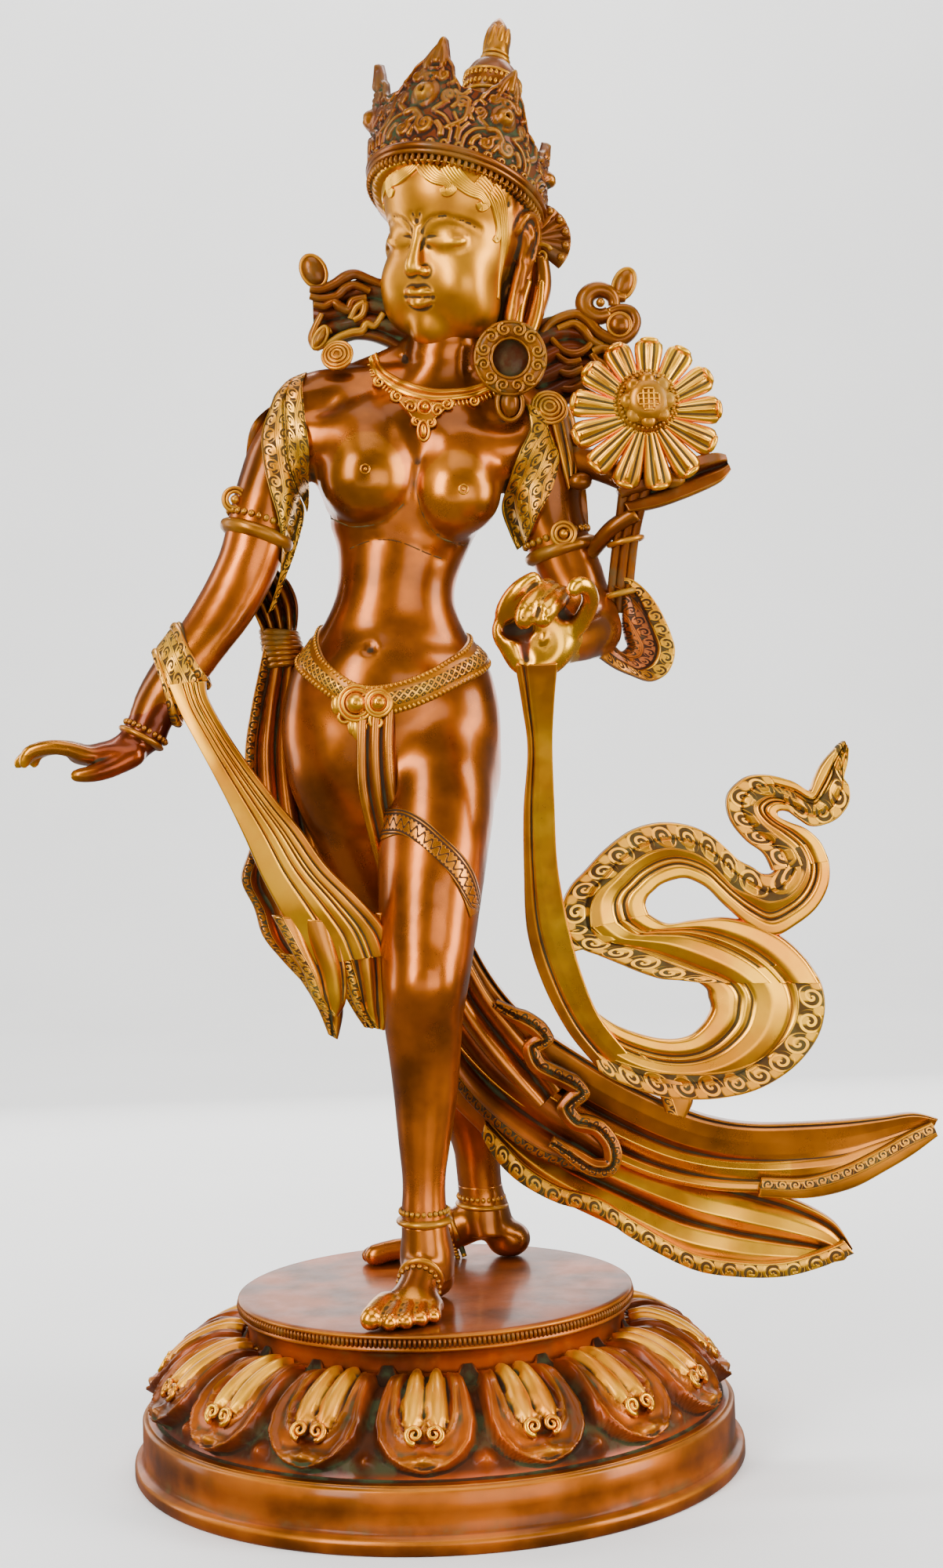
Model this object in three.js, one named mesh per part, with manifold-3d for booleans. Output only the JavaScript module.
// A standing Tara figure in cast brass on a round lotus base, in millimetres, +Z up.
// The origin is at the middle of the base's underside and the figure faces -Y.
// "Left" and "right" in the names below are the figure's own, so its right arm is on the -X side.
import * as THREE from "three";
import { mergeVertices } from "three/addons/utils/BufferGeometryUtils.js";
import Module from "manifold-3d";

const wasm = await Module();
wasm.setup();

// Driving dimensions of the lotus base.
const FLANGE_RADIUS = 150;
const FLANGE_HEIGHT = 7;
const BAND_RADIUS = 145.5;
const BAND_TOP = 27.5;
const NECK_RADIUS = 93;
const DISC_RADIUS = 98;
const DISC_TOP = 83;
const DISC_LIP = 5;
const PETALS = 16;

// Where the figure stands, and how finely its forms are faceted.
const SOLE = DISC_TOP + 0.3;
const LIMB_SIDES = 8;
const SMALL_SIDES = 5;
const FACET_TOLERANCE = 3.0;
const BASE_TOLERANCE = 0.9;

const BRONZE = new THREE.MeshStandardMaterial({ color: 0x8a4a1c, roughness: 0.32, metalness: 0.85 });
const BASE_BRONZE = new THREE.MeshStandardMaterial({ color: 0x7d4422, roughness: 0.38, metalness: 0.8 });

const V = (x, y, z) => new THREE.Vector3(x, y, z);
const FRONT = V(0, -1, 0);

// A station of a limb: its centre, its half-width, and its half-depth to the front and to the back.
const station = (x, y, z, width, front = width, back = front) => ({ at: V(x, y, z), width, front, back });

// Outlines that are swept along stations, as points in units of the half-width and the half-depth.
const oval = (sides) =>
  Array.from({ length: sides }, (_, i) => {
    const angle = (2 * Math.PI * i) / sides;
    return [Math.cos(angle), Math.sin(angle)];
  });

const slab = () => [
  [1, -0.5],
  [0.85, 1],
  [-0.85, 1],
  [-1, -0.5],
];

// A cloth section with a sharp edge each side, rounded pleats on its front and a plain back.
function pleats(count, depth = 0.8) {
  const front = Array.from({ length: 2 * count - 1 }, (_, i) => [0.8 * (1 - i / (count - 1)), i % 2 ? 1 - depth : 1]);
  return [[1, -0.5], ...front, [-1, -0.5], [0, -1]];
}

// Stations at equal steps along the smooth curve through the given ones.
function smooth(stations, steps) {
  const curve = new THREE.CatmullRomCurve3(stations.map((s) => s.at), false, "centripetal");
  const last = stations.length - 1;
  return Array.from({ length: last * steps + 1 }, (_, i) => {
    const t = i / steps;
    const from = stations[Math.min(Math.floor(t), last)];
    const to = stations[Math.min(Math.floor(t) + 1, last)];
    const ease = t - Math.floor(t);
    const blend = (key) => THREE.MathUtils.lerp(from[key], to[key], ease * ease * (3 - 2 * ease));
    return { at: curve.getPoint(t / last), width: blend("width"), front: blend("front"), back: blend("back") };
  });
}

// A closed mesh from rings of equal length, with a fan at each end.
function skin(rings) {
  const sides = rings[0].length;
  const positions = rings.flat().flatMap((p) => [p.x, p.y, p.z]);
  const index = [];
  for (let r = 0; r + 1 < rings.length; r++)
    for (let s = 0; s < sides; s++) {
      const a = r * sides + s;
      const b = r * sides + ((s + 1) % sides);
      index.push(a, b, b + sides, a, b + sides, a + sides);
    }
  for (const [ring, turned] of [[rings[0], true], [rings[rings.length - 1], false]]) {
    const centre = positions.length / 3;
    const middle = ring.reduce((sum, p) => sum.add(p), V(0, 0, 0)).divideScalar(sides);
    const first = turned ? 0 : (rings.length - 1) * sides;
    positions.push(middle.x, middle.y, middle.z);
    for (let s = 0; s < sides; s++) {
      const a = first + s;
      const b = first + ((s + 1) % sides);
      index.push(...(turned ? [centre, b, a] : [centre, a, b]));
    }
  }
  return new THREE.BufferGeometry()
    .setAttribute("position", new THREE.Float32BufferAttribute(positions, 3))
    .setIndex(index);
}

// Sweeps an outline along stations. Its depth runs along `front` as far as the path allows,
// and its rings stand square to the path, or to `level` where that is given.
function sweep(stations, { outline = oval(LIMB_SIDES), steps = 1, front = FRONT, level = null } = {}) {
  const path = steps > 1 ? smooth(stations, steps) : stations;
  const rings = path.map((s, i) => {
    const ahead = path[Math.min(i + 1, path.length - 1)].at.clone().sub(path[Math.max(i - 1, 0)].at).normalize();
    const along = level ?? ahead;
    const depth = front.clone().addScaledVector(along, -front.dot(along)).normalize();
    const across = depth.clone().cross(along);
    return outline.map(([u, v]) =>
      s.at.clone().addScaledVector(across, u * s.width).addScaledVector(depth, v * (v > 0 ? s.front : s.back)),
    );
  });
  return solid(skin(rings));
}

// A sheet drawn between pairs of edge points, [x, z, x, z, y, depth] each, its section set between them.
function band(spans, outline = slab()) {
  const rings = spans.map(([x0, z0, x1, z1, y, depth]) => {
    const middle = V((x0 + x1) / 2, y, (z0 + z1) / 2);
    const half = V((x0 - x1) / 2, 0, (z0 - z1) / 2);
    return outline.map(([u, v]) => middle.clone().addScaledVector(half, u).addScaledVector(FRONT, v * depth));
  });
  return solid(skin(rings));
}

// A manifold solid of a closed geometry, turned to face out.
function solid(geometry, matrix = new THREE.Matrix4()) {
  const bare = geometry.clone();
  bare.deleteAttribute("normal");
  bare.deleteAttribute("uv");
  bare.applyMatrix4(matrix);
  const merged = mergeVertices(bare, 1e-4);
  const make = (triVerts) =>
    new wasm.Manifold(new wasm.Mesh({ numProp: 3, vertProperties: merged.attributes.position.array, triVerts }));
  const made = make(new Uint32Array(merged.index.array));
  return made.volume() > 0 ? made : make(new Uint32Array(merged.index.array).reverse());
}

const fuse = (solids) => solids.reduce((all, one) => all.add(one));

// The same solid with the small pockets closed that stay between overlapping forms.
const filled = (made) => fuse(made.decompose().filter((shell) => shell.volume() > 0));

const ball = (x, y, z, rx, ry = rx, rz = rx, segments = 10) =>
  solid(
    new THREE.SphereGeometry(1, segments, Math.ceil(segments * 0.6)),
    new THREE.Matrix4().compose(V(x, y, z), new THREE.Quaternion(), V(rx, ry, rz)),
  );

function meshOf(name, made, material) {
  const { vertProperties, triVerts, numProp } = made.getMesh();
  const positions = [];
  for (let i = 0; i < vertProperties.length; i += numProp) positions.push(...vertProperties.subarray(i, i + 3));
  const geometry = new THREE.BufferGeometry()
    .setAttribute("position", new THREE.Float32BufferAttribute(positions, 3))
    .setIndex([...triVerts]);
  geometry.computeVertexNormals();
  const mesh = new THREE.Mesh(geometry, material);
  mesh.name = name;
  return mesh;
}

// Torso, from the pelvis up to the throat, with its belt, shoulders and breasts.
function torso() {
  const trunk = sweep([
    station(-9, 3, 312, 40, 18, 24),
    station(-10, 3, 328, 50, 26, 34),
    station(-12, 2, 352, 55, 30, 37),
    station(-12, 1, 371, 54, 30, 36),
    station(-12, 1, 374, 54.5, 32, 37),
    station(-12, 0, 391, 49, 31, 31),
    station(-12, 0, 393, 46, 27, 28),
    station(-11, 0, 402, 39, 26, 24),
    station(-9, 0, 417, 31, 24, 21),
    station(-6, 0, 434, 30, 24, 20),
    station(-2, 0, 454, 36, 25, 23),
    station(1, 0, 472, 42, 26, 26),
    station(5, 0, 496, 46, 25, 27),
    station(9, 0, 514, 40, 21, 24),
    station(14, 1, 527, 27, 17, 20),
    station(17, 1, 536, 19, 16, 18),
    station(20, 0, 556, 18, 16, 17),
  ], { outline: oval(10) });
  const shoulders = sweep([
    station(-53, 0, 519, 13, 12),
    station(-20, 2, 528, 14, 13),
    station(16, 2, 530, 15, 14),
    station(46, 2, 521, 14, 13),
    station(66, 0, 507, 14, 13),
  ]);
  return [trunk, shoulders, ball(-20, -22, 480, 27, 18, 26, 10), ball(24, -22, 471, 24, 18, 25, 10)];
}

// The left leg carries the weight in front; the right one crosses behind it.
function legs() {
  const front = sweep([
    station(12, -4, 348, 28, 28),
    station(9, -14, 320, 28, 28),
    station(5.5, -24, 292, 26.6, 27),
    station(2, -34, 256, 23.6, 24),
    station(0, -40, 234, 20.6, 21),
    station(-1, -38, 214, 19, 18),
    station(-1.5, -34, 186, 16.2, 19),
    station(-3, -36, 160, 13, 13),
    station(-4, -38, 142, 11, 11),
    station(-4, -38, 129, 11.5, 12),
    station(-4, -38, 128, 14, 14.5),
    station(-4, -38, 120, 14, 14.5),
    station(-4, -38, 119, 11.5, 13),
    station(-3, -36, SOLE + 8, 12, 15),
  ]);
  const back = sweep([
    station(-36, 4, 348, 27, 27),
    station(-32, 11, 320, 26, 27),
    station(-22, 20, 283, 24, 24),
    station(-10, 31, 245, 21, 22),
    station(3, 42, 208, 18, 19),
    station(18, 52, 168, 16, 17),
    station(24, 58, 140, 12.5, 13),
    station(25, 59, 127, 12.5, 13),
    station(25, 59, 126, 15, 15.5),
    station(25, 60, 118, 15, 15.5),
    station(25, 60, 117, 12.5, 13),
    station(26, 60, 104, 13, 14),
    station(28, 60, SOLE + 8, 12, 14),
  ]);
  return [front, back];
}

// A bare foot from heel to toes, with its sole flat and five toes.
function foot(heel, toes, height, toeSpread) {
  const at = (share, side = 0, z = 0) => {
    const along = toes.clone().sub(heel);
    const aside = V(-along.y, along.x, 0).normalize();
    return heel.clone().addScaledVector(along, share).addScaledVector(aside, side).setZ(SOLE + z);
  };
  const rise = V(0, 0, 1);
  const stretch = (share, width, top) => ({ at: at(share, 0, top / 2), width, front: top / 2, back: top / 2 });
  const sole = sweep([
    stretch(-0.08, 8, height * 0.4),
    stretch(0.05, 12, height * 0.8),
    stretch(0.28, 14, height),
    stretch(0.6, 18, height * 0.62),
    stretch(0.86, 20, height * 0.4),
  ], { outline: oval(10), front: rise });
  const toe = (i) => {
    const side = (i - 2) * toeSpread;
    const reach = 1.02 - 0.035 * Math.abs(i - 1.2);
    const start = at(0.74, side * 0.95, height * 0.2);
    const end = at(reach, side, height * 0.16);
    return sweep([
      { at: start, width: toeSpread * 0.5, front: height * 0.2, back: height * 0.2 },
      { at: end, width: toeSpread * 0.46, front: height * 0.18, back: height * 0.14 },
      { at: at(reach + 0.05, side, height * 0.12), width: toeSpread * 0.25, front: height * 0.08, back: height * 0.1 },
    ], { outline: oval(SMALL_SIDES), front: rise });
  };
  return [sole, ...[0, 1, 2, 3, 4].map(toe)];
}

function arms() {
  const right = sweep([
    station(-50, 0, 522, 13, 13),
    station(-58, -2, 504, 15.5, 14),
    station(-65, -4, 484, 16.4, 15),
    station(-74, -7, 456, 15.6, 14.5),
    station(-74, -7, 455, 17.6, 17),
    station(-77, -8, 446, 17.6, 17),
    station(-77.5, -8, 445, 15.4, 14.5),
    station(-83, -10, 432, 15.8, 14.5),
    station(-94, -15, 415, 16.6, 14.5),
    station(-108, -23, 395, 15.8, 13),
    station(-119, -28, 378, 13.6, 10.5),
    station(-131, -32, 358, 9.6, 8.5),
  ]);
  const left = sweep([
    station(64, 0, 508, 14, 14),
    station(67, 0, 485, 18, 15),
    station(71, 0, 454, 17, 15),
    station(71.5, 0, 453, 18.6, 17),
    station(74.5, -1, 443, 18.6, 17),
    station(75, -1, 442, 16.6, 15),
    station(79, -2, 432, 16.4, 15),
    station(88, -6, 412, 14, 14),
    station(89, -22, 401, 11.5, 12),
    station(80, -44, 398, 10, 10),
    station(67, -60, 395, 9, 9),
  ]);
  return [right, left];
}

// The lowered right hand, its palm down and its fingers reaching out and a little down at the tips.
function loweredHand() {
  const palm = sweep([
    station(-129, -32, 358, 8, 7),
    station(-140, -34, 352, 7.5, 11),
    station(-152, -36, 350, 5.5, 13),
    station(-162, -36, 352, 3.6, 12),
  ]);
  const finger = (i) => {
    const y = -46 + i * 6.6;
    const reach = -194 + Math.abs(i - 1.3) * 4;
    return sweep([
      station(-158, y * 0.9 - 3, 352.5, 3.2, 3.2),
      station(-174, y, 355.5, 3.2, 3.2),
      station((reach - 174) / 2, y, 353, 3, 3),
      station(reach, y, 347, 2, 2),
    ], { outline: oval(SMALL_SIDES) });
  };
  const thumb = sweep([
    station(-136, -42, 348, 4.5, 4.5),
    station(-148, -48, 343, 4.2, 4),
    station(-158, -50, 342, 2.4, 2.4),
  ], { outline: oval(SMALL_SIDES) });
  return [palm, thumb, ...[0, 1, 2, 3].map(finger)];
}

// The raised left hand, its palm to the front and its fingers curled down over it.
function raisedHand() {
  const palm = sweep([
    station(57, -68, 379, 8, 6),
    station(57, -69, 388, 17, 9),
    station(57, -67, 401, 20, 10),
    station(61, -65, 412, 17, 9),
    station(63, -64, 420, 10, 7),
  ]);
  const curl = (x, top, lean, drop) =>
    sweep([
      station(x, -64, top - 7, 4.6, 4.6),
      station(x + lean, -72, top, 4.6, 4.6),
      station(x + lean, -80, top - 5, 4.4, 4.4),
      station(x + lean * 0.6, -83, top - drop, 3.4, 3.4),
    ], { outline: oval(SMALL_SIDES), front: V(1, 0, 0) });
  const ring = sweep([
    station(68, -68, 416, 4.6, 4.6),
    station(77, -73, 415, 4.6, 4.6),
    station(79, -78, 405, 4.4, 4.4),
    station(73, -80, 396, 4, 4),
  ], { outline: oval(SMALL_SIDES) });
  return [palm, curl(53, 423, -1, 12), curl(61, 420, 0, 17), curl(68, 418, 1, 16), ring];
}

// The frames of the head and of its crown: both face the figure's right, and the crown sits tipped back.
const degrees = THREE.MathUtils.degToRad;
const HEAD = new THREE.Matrix4()
  .makeTranslation(28, 2, 592)
  .multiply(new THREE.Matrix4().makeRotationFromEuler(new THREE.Euler(degrees(8), degrees(8), degrees(-33), "ZYX")));
const CROWN = new THREE.Matrix4()
  .makeTranslation(28, 3, 618)
  .multiply(new THREE.Matrix4().makeRotationFromEuler(new THREE.Euler(degrees(-19), degrees(5), degrees(-33), "ZYX")));

// Tools for shaping in one of those frames, where z rises, -y is to the front and x to the figure's left.
function inFrame(frame) {
  const up = V(0, 0, 1).transformDirection(frame);
  const front = V(0, -1, 0).transformDirection(frame);
  const at = (x, y, z, width, ahead = width, behind = ahead) =>
    ({ at: V(x, y, z).applyMatrix4(frame), width, front: ahead, back: behind });
  const shape = (stations, sides = SMALL_SIDES, level = null) =>
    sweep(stations, { outline: oval(sides), front, level });
  return { up, front, at, shape };
}

function head() {
  const { up, at, shape } = inFrame(HEAD);
  const skull = shape([
    at(0, -22, -46, 8, 7, 12),
    at(0, -14, -40, 19, 19, 20),
    at(0, -7, -27, 28, 27, 30),
    at(0, -2, -8, 33, 33, 38),
    at(0, 0, 16, 34, 34, 42),
    at(0, 2, 40, 30, 30, 38),
  ], 10, up);
  const nose = shape([
    at(0, -31, 14, 2.6, 3.4),
    at(0, -35, 0, 3, 5),
    at(0, -37, -7, 5.4, 6),
    at(0, -33, -11, 4.6, 3),
  ]);
  const lips = shape([at(-9, -28, -20, 2, 3), at(0, -34, -22.5, 4.4, 3), at(9, -28, -20, 2, 3)]);
  const ear = (side) => shape([
    at(side * 33, 5, 16, 3, 6),
    at(side * 37, 6, 4, 3.5, 7),
    at(side * 34, 3, -22, 3, 6),
    at(side * 31, 2, -38, 2.5, 4),
  ]);
  return [skull, nose, lips, ear(1), ear(-1)];
}

// A pointed leaf of the crown on its rim, turned round it and leaning out, with a boss on its front.
function crownLeaf(turn, half, height, lean) {
  const outline = new THREE.Shape();
  outline.moveTo(-half * 0.8, -4);
  outline.quadraticCurveTo(-half * 1.35, height * 0.5, 0, height);
  outline.quadraticCurveTo(half * 1.35, height * 0.5, half * 0.8, -4);
  const plate = new THREE.ExtrudeGeometry(outline, { depth: 7, bevelEnabled: false, curveSegments: 2 });
  const out = 38 - 4 * Math.abs(Math.sin(turn));
  const place = CROWN.clone()
    .multiply(new THREE.Matrix4().makeRotationZ(turn))
    .multiply(new THREE.Matrix4().makeTranslation(0, -out, 8))
    .multiply(new THREE.Matrix4().makeRotationX(Math.PI / 2 + lean));
  const boss = new THREE.CylinderGeometry(4.5, 6.5, 5, 6).rotateX(Math.PI / 2).translate(0, height * 0.4, 8.5);
  return [solid(plate, place), solid(boss, place)];
}

function crown() {
  const { up, front, at, shape } = inFrame(CROWN);
  const rim = shape([
    at(0, 0, -4, 37, 41, 44),
    at(0, 0, 0, 41, 45, 47),
    at(0, 0, 7, 40, 44, 46),
    at(0, 1, 24, 38, 41, 44),
    at(0, 4, 44, 31, 32, 38),
    at(0, 6, 52, 18, 18, 24),
  ], 12, up);
  const leaves = [
    [0, 19, 59, -0.08],
    [-1.0, 17, 55, 0.28],
    [1.0, 16, 47, 0.02],
    [-2.0, 14, 34, 0],
    [2.0, 14, 32, -0.1],
  ].flatMap((leaf) => crownLeaf(...leaf));
  const topknot = shape([
    at(-2, 17, 44, 17, 17),
    at(-5, 17, 62, 12, 12),
    at(-6, 17, 72, 14, 14),
    at(-7, 17, 83, 12, 12),
    at(-8, 17, 90, 6, 6),
    at(-9, 17, 96, 7.5, 7.5),
    at(-10, 17, 107, 4.5, 4.5),
    at(-10, 17, 113, 1.5, 1.5),
  ], 8);
  const nearFan = band([[62, 610, 58, 594, 6, 6], [74, 621, 70, 588, 10, 5], [87, 616, 84, 592, 10, 4]]);
  const farFan = band([[10, 612, 8, 594, 26, 6], [-2, 620, -1, 592, 32, 5], [-9, 616, -8, 596, 34, 4]]);
  return [rim, ...leaves, topknot, nearFan, farFan];
}

// The hoops of the earrings, each with a drop below it, lying on the shoulders.
function earrings() {
  const ring = new THREE.TorusGeometry(12.5, 4.8, 4, 10).scale(1, 1.05, 1.1);
  const hoop = solid(ring, new THREE.Matrix4().makeTranslation(51, -20, 535)
    .multiply(new THREE.Matrix4().makeRotationX(Math.PI / 2)));
  const lobe = sweep([station(58, -4, 572, 5, 5), station(53, -10, 552, 6, 5), station(51, -14, 543, 6, 5)],
    { outline: oval(SMALL_SIDES) });
  const seat = sweep([station(50, -8, 545, 11, 8, 14), station(46, -6, 515, 9, 7, 14)]);
  return [hoop, ball(50, -21, 513, 6, 5, 8, 6), lobe, seat,
    ball(-10, -6, 540, 9, 9, 7, 7)];
}

// Fluttering ends of the hair ribbons, rising from behind each shoulder.
function ribbons() {
  const frill = [[1, -0.4], [0.5, 1], [0, 0.2], [-0.5, 1], [-1, -0.4], [0, -1]];
  const left = band([
    [58, 562, 66, 508, 10, 11], [72, 568, 82, 524, 13, 10], [82, 575, 92, 534, 15, 8],
    [92, 578, 104, 550, 16, 7], [101, 584, 108, 572, 16, 5], [105, 588, 108, 584, 16, 3],
  ], frill);
  const leftTip = band([[84, 562, 88, 544, 14, 8], [98, 562, 100, 544, 14, 6], [108, 564, 108, 556, 14, 4]], frill);
  const right = band([
    [6, 578, 6, 536, 12, 11], [-8, 579, -12, 540, 15, 10], [-20, 583, -26, 546, 17, 8],
    [-30, 585, -40, 550, 18, 7], [-39, 587, -47, 566, 18, 6], [-42, 594, -50, 588, 18, 4], [-47, 599, -50, 596, 18, 2],
  ], frill);
  const rightTip = band([[-26, 564, -22, 536, 8, 8], [-38, 560, -34, 536, 6, 7], [-48, 556, -44, 544, 5, 4]], frill);
  return [left, leftTip, right, rightTip];
}

// The open lotus beside the left shoulder: a domed heart, a ring of petals, a stem, a leaf and its ties.
const LOTUS = { middle: V(115, -34, 505), petals: 12, reach: 35 };

function lotus() {
  const { middle, petals, reach } = LOTUS;
  const petal = (i) => {
    const angle = (2 * Math.PI * i) / petals;
    const out = (r, y) => V(middle.x + r * Math.cos(angle), middle.y + y, middle.z + r * Math.sin(angle));
    return sweep([
      { at: out(9, 1), width: 4, front: 4, back: 4 },
      { at: out(29, -1), width: 7.4, front: 5, back: 3.5 },
      { at: out(reach, 2), width: 3.4, front: 2.4, back: 2.4 },
    ], { outline: oval(4) });
  };
  const heart = ball(middle.x, middle.y - 3, middle.z + 4, 14.5, 11, 14.5, 8);
  const stem = sweep([
    station(113, -28, 488, 9, 5),
    station(109, -22, 464, 9, 6),
    station(103, -14, 440, 6.5, 6),
    station(101, -10, 414, 8, 6),
  ], { outline: oval(SMALL_SIDES) });
  const leaf = band([[108, 456, 102, 472, -19, 5], [130, 462, 124, 480, -18, 4], [146, 471, 144, 485, -18, 4],
    [156, 476, 155, 482, -18, 2.5]]);
  const tie = sweep([
    station(80, 0, 488, 11, 7),
    station(92, -10, 484, 10, 7),
    station(106, -20, 476, 8, 6),
  ], { outline: oval(SMALL_SIDES) });
  const cord = sweep([
    station(88, -8, 441, 3.5, 4),
    station(98, -18, 452, 4, 4),
    station(110, -22, 458, 4, 4),
  ], { outline: oval(SMALL_SIDES) });
  return [heart, stem, leaf, tie, cord, ...Array.from({ length: petals }, (_, i) => petal(i))];
}

// The shawl: over both shoulders, round both arms, and down to its free ends.
function shawl() {
  const overRight = sweep([
    station(-46, -4, 536, 10, 5),
    station(-57, -12, 518, 13, 5),
    station(-63, -18, 492, 14, 5),
    station(-69, -19, 464, 11, 5),
    station(-75, -14, 444, 6, 5),
  ], { outline: slab() });
  const overLeft = sweep([
    station(57, -10, 520, 9, 5),
    station(66, -16, 498, 14, 5),
    station(67, -18, 474, 13, 5),
    station(66, -16, 452, 7, 5),
  ], { outline: slab() });
  const cuff = band([[-111, 416, -101, 379, -23, 17], [-120, 403, -103, 367, -25, 18], [-126, 388, -106, 358, -27, 15]],
    oval(LIMB_SIDES));
  const fall = band([
    [-114, 374, -99, 380, -36, 5], [-98, 342, -82, 346, -41, 4], [-84, 312, -57, 313, -42, 4.5],
    [-72, 284, -36, 286, -41, 5], [-64, 265, -24, 268, -39, 5],
  ], pleats(3));
  const firstEnd = band([[-68, 276, -40, 272, -38, 5], [-59, 252, -38, 250, -37, 5], [-56, 242, -38, 240, -36, 3]],
    pleats(2));
  const secondEnd = band([[-46, 274, -12, 270, -33, 6], [-40, 244, -14, 244, -32, 5], [-36, 222, -18, 216, -31, 3]],
    pleats(2));
  const elbow = sweep([
    station(90, -8, 410, 8, 6),
    station(106, -9, 418, 9, 6),
    station(117, -9, 404, 12, 6),
    station(112, -11, 388, 10, 5.5),
    station(97, -18, 394, 6.5, 6),
    station(84, -30, 402, 6, 5),
  ]);
  const strap = band([
    [52, 382, 64, 383, -64, 7], [52, 346, 65, 346, -53, 4.5], [49, 318, 64, 318, -46, 4], [49, 289, 64, 290, -38, 4],
    [50, 259, 69, 262, -30, 4], [57, 233, 75, 238, -23, 4], [69, 208, 84, 215, -15, 4.5], [84, 188, 102, 192, -6, 5],
  ]);
  return [overRight, overLeft, cuff, fall, firstEnd, secondEnd, elbow, strap];
}

// The shawl's far end, a flat ribbon that winds up to the left in three turns.
function windingEnd() {
  const ridged = [[1, -0.6], [0.85, 0.9], [0.15, 0.3], [-0.6, 1], [-1, -0.6]];
  const wind = (spans) => band(spans.map((span) => [...span, -8, 4]), ridged);
  const bowl = wind([
    [82, 186, 70, 226], [104, 177, 98, 208], [128, 172, 121, 202], [152, 173, 133, 205], [174, 181, 139, 213],
    [191, 197, 140, 220], [196, 218, 136, 228], [190, 238, 124, 231], [174, 254, 108, 235], [150, 262, 94, 241],
    [130, 259, 80, 247], [112, 264, 69, 257],
  ]);
  const arch = wind([
    [118, 258, 68, 250], [110, 268, 69, 274], [113, 275, 80, 288], [121, 280, 97, 302], [130, 280, 116, 309],
    [140, 276, 136, 305], [148, 268, 150, 295], [156, 262, 160, 287], [172, 252, 166, 284], [187, 259, 171, 282],
    [197, 267, 174, 284], [200, 281, 175, 287], [195, 299, 172, 291],
  ]);
  const crest = wind([
    [199, 290, 171, 286], [190, 303, 165, 294], [178, 306, 155, 304], [174, 308, 150, 315], [176, 310, 156, 327],
    [180, 309, 172, 330], [188, 305, 188, 325], [199, 304, 193, 325], [210, 312, 196, 330], [211, 324, 199, 336],
    [211, 336, 205, 342], [211, 344, 209, 345],
  ]);
  const foot = wind([[98, 196, 122, 180], [116, 168, 128, 168]]);
  return [bowl, arch, crest, foot];
}

// The clasp of the belt, the knot at the right hip and the cloth that hangs from it.
function waistCloth() {
  const clasp = [ball(-24, -30, 372, 9, 5, 9, 8), ball(-14, -31, 371, 6.5, 5, 6.5, 7),
    ball(-22, -29, 362, 5, 4, 7, 6)];
  const apron = sweep([
    station(-19, -28, 362, 9, 4),
    station(-19, -28, 335, 9, 4),
    station(-15, -22, 305, 8, 5),
    station(-12, -16, 280, 6, 5),
  ], { outline: pleats(3) });
  const knot = [
    [-67, 16, 429, 9, 8, 10], [-63, 15, 416, 12, 10, 7], [-62, 14, 402, 13, 11, 10],
  ].map(([x, y, z, rx, ry, rz]) => ball(x, y, z, rx, ry, rz, 6));
  const hanging = band([
    [-72, 402, -50, 398, 14, 9], [-81, 373, -52, 371, 17, 7], [-86, 342, -50, 340, 18, 7], [-85, 304, -44, 302, 17, 7],
    [-89, 286, -40, 280, 16, 7], [-82, 263, -34, 256, 14, 7], [-68, 243, -36, 240, 11, 6], [-54, 224, -38, 224, 8, 5],
    [-48, 206, -44, 206, 6, 3],
  ], pleats(3));
  return [...clasp, apron, ...knot, hanging];
}

// The skirt's long end, blown back to the left from behind the knees.
function skirt() {
  const upper = band([
    [18, 270, -8, 236, 22, 10], [29, 246, 4, 212, 24, 10], [44, 219, 22, 188, 23, 9], [74, 195, 52, 162, 18, 9],
    [100, 178, 78, 145, 14, 8], [128, 164, 108, 130, 11, 7], [161, 156, 158, 121, 9, 5], [198, 156, 192, 120, 9, 4],
    [232, 158, 226, 134, 9, 4], [253, 156, 251, 147, 10, 3],
  ], pleats(3, 0.6));
  const lower = band([
    [14, 225, 0, 190, 34, 8], [30, 196, 24, 152, 34, 9], [50, 176, 42, 133, 30, 9], [74, 158, 64, 120, 26, 9],
    [104, 142, 92, 108, 20, 8], [136, 131, 118, 91, 15, 6], [164, 122, 148, 83, 11, 5], [187, 106, 176, 82, 8, 4],
    [207, 92, 204, 87, 7, 3],
  ], pleats(3, 0.6));
  const roll = sweep([
    station(16, 10, 250, 8, 8), station(34, 8, 218, 9, 8), station(50, 8, 196, 10, 8), station(62, 8, 180, 9, 7),
    station(69, 8, 172, 5, 5),
  ], { outline: oval(SMALL_SIDES) });
  const leaf = band([
    [22, 212, 8, 186, 24, 8], [42, 188, 26, 160, 22, 7], [66, 166, 50, 142, 18, 6], [90, 142, 84, 134, 13, 3],
  ]);
  return [upper, lower, roll, leaf];
}

// The bracelet of the lowered arm, and the collar with its pendant.
function jewellery() {
  const wrist = sweep([
    station(-122, -29, 366, 10.5, 10.5),
    station(-127, -31, 360, 11.6, 11.6),
    station(-131, -32, 356, 10.5, 10.5),
  ]);
  const collar = sweep([
    station(-22, -14, 531, 3.5, 4), station(-10, -23, 522, 4, 4), station(8, -27, 515, 4.5, 4),
    station(28, -25, 514, 4.5, 4), station(42, -18, 518, 3.5, 4),
  ], { outline: oval(SMALL_SIDES), front: V(0, -1, 0) });
  const pendant = sweep([
    station(9, -26, 517, 14, 3.5), station(9, -27, 510, 10, 3.5), station(8, -28, 502, 5, 3), station(8, -28, 496, 1.5, 2),
  ], { outline: slab() });
  return [wrist, collar, pendant];
}

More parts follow.
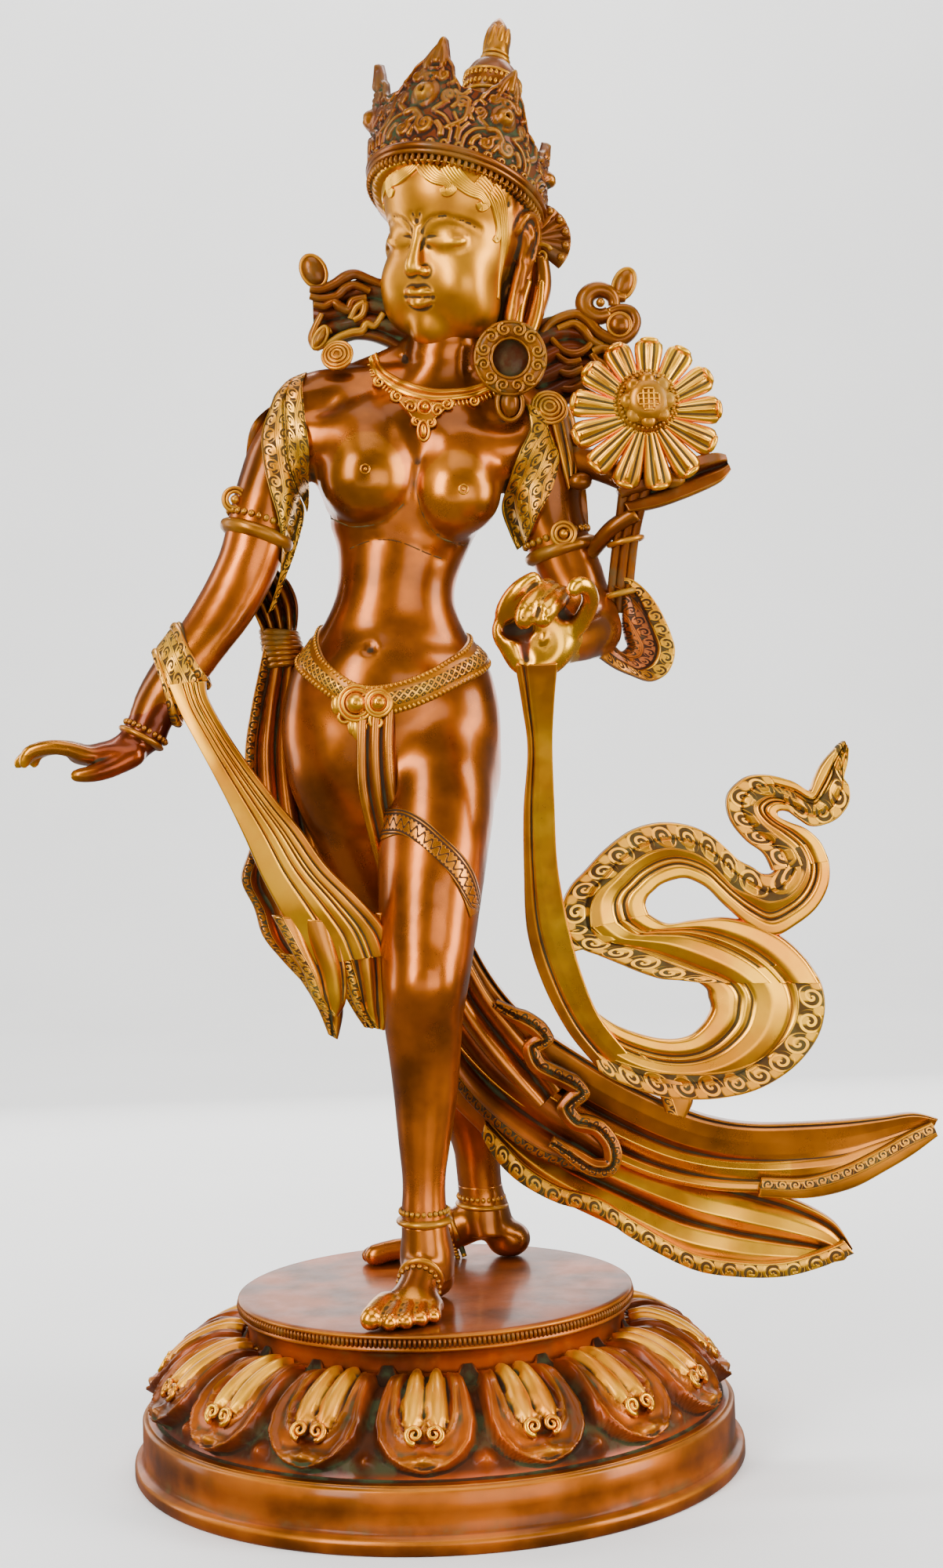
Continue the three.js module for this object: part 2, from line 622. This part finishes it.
function figure() {
  const parts = [
    ...torso(), ...legs(), ...arms(), ...loweredHand(), ...raisedHand(), ...head(), ...crown(), ...earrings(),
    ...ribbons(), ...lotus(), ...shawl(), ...windingEnd(), ...waistCloth(), ...skirt(), ...jewellery(),
    ...foot(V(-2, -26, SOLE), V(-19, -82, SOLE), 24, 7.6),
    ...foot(V(38, 64, SOLE), V(-28, 60, SOLE), 24, 7),
  ];
  const whole = fuse(parts).trimByPlane([0, 0, 1], SOLE);
  return meshOf("figure", filled(filled(whole).simplify(FACET_TOLERANCE)), BRONZE);
}

// One lotus petal of the base, a pair of swelling lobes that curls over at its tip.
const PETAL = [[1, 0], [0.5, 0.8], [0, 0.55], [-0.5, 0.8], [-1, 0], [0, -1]];

function basePetal(turn) {
  const place = new THREE.Matrix4().makeRotationZ(turn);
  const out = (r, z) => V(0, -r, z).applyMatrix4(place);
  const outward = V(0, -1, 0.8).normalize().applyMatrix4(place);
  const petal = (list) =>
    sweep(list.map(([r, z, width, thick]) => ({ at: out(r, z), width, front: thick, back: thick })),
      { outline: PETAL, front: outward });
  return [
    petal([[98, 62, 13, 5], [118, 59, 21, 8], [135, 43, 24, 9], [142, 31, 9, 3]]),
  ];
}

function lotusBase() {
  const profile = [
    [0, 0], [FLANGE_RADIUS, 0], [FLANGE_RADIUS, FLANGE_HEIGHT], [BAND_RADIUS, FLANGE_HEIGHT + 1],
    [BAND_RADIUS, BAND_TOP], [118, 50], [NECK_RADIUS, 60],
    [DISC_RADIUS, DISC_TOP - DISC_LIP], [DISC_RADIUS, DISC_TOP - 1], [DISC_RADIUS - 1.5, DISC_TOP], [0, DISC_TOP],
  ].map(([r, z]) => new THREE.Vector2(r, z));
  const body = solid(new THREE.LatheGeometry(profile, 32).rotateX(Math.PI / 2));
  const petals = Array.from({ length: PETALS }, (_, i) => basePetal((2 * Math.PI * i) / PETALS)).flat();
  return meshOf("lotus_base", fuse([body, ...petals]).simplify(BASE_TOLERANCE), BASE_BRONZE);
}

const taraFigure = new THREE.Group();
taraFigure.add(figure(), lotusBase());

export default taraFigure;
